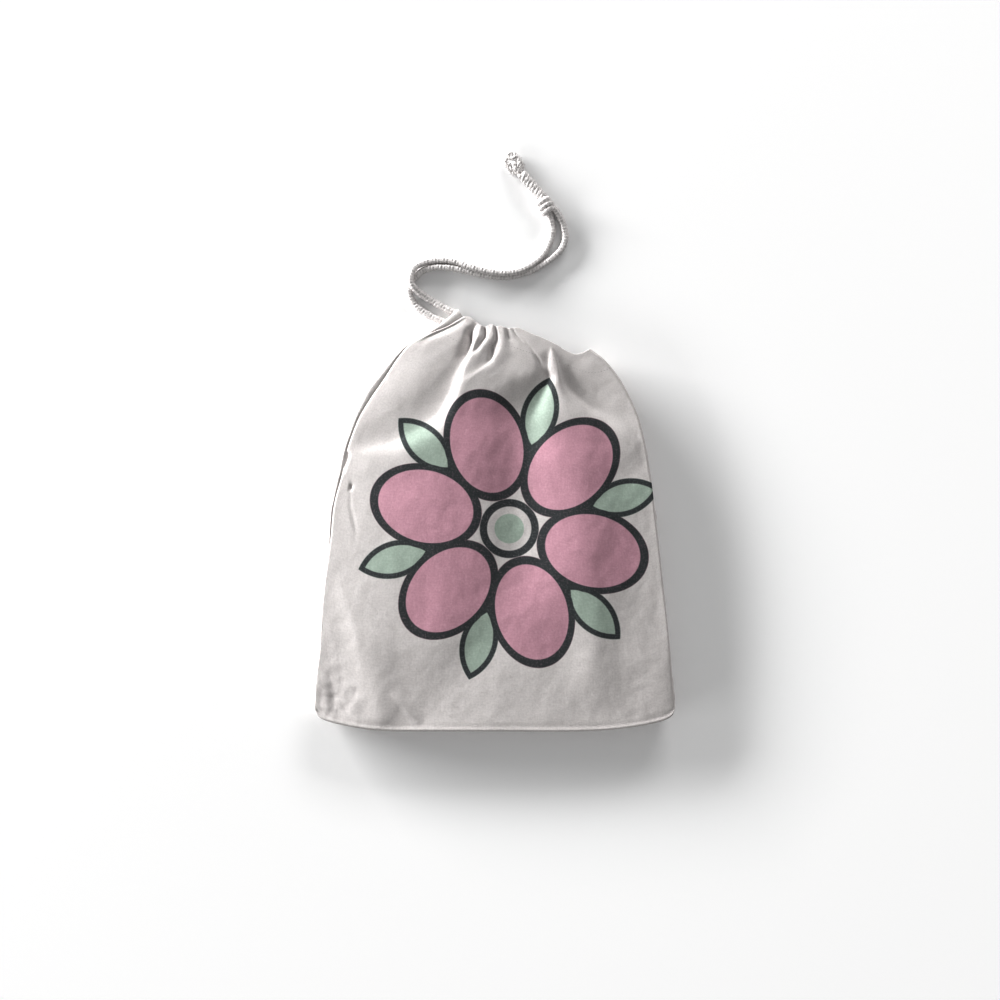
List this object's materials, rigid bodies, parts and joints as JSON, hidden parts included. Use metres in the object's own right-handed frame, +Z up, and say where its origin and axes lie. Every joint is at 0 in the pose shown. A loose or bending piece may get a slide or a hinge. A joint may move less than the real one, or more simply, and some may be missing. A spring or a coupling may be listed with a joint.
{
  "type": "cotton drawstring bag",
  "caption": "Flat cotton pouch with a gathered mouth, closed by one knotted drawcord that leaves its casing at the upper left corner.",
  "frame": {"origin": "on the table, under the middle of the bag without its cord", "axes": "+Y from the bottom seam to the mouth, +Z up from the table, +X to the right as seen from above"},
  "size_m": [0.245, 0.3937, 0.0319],
  "materials": {
    "cotton_front": "plain-woven unbleached white cotton with a matt printed motif",
    "cotton_back": "plain-woven unbleached white cotton, not printed",
    "cotton_cord": "soft twisted cotton cord"
  },
  "bodies": {
    "root": {"front_panel": "cotton_front", "back_panel": "cotton_back", "drawcord_upper": "cotton_cord", "drawcord_lower": "cotton_cord", "cord_knot": "cotton_cord", "cord_tail": "cotton_cord", "cord_tuft": "cotton_cord"}
  },
  "joints": []
}
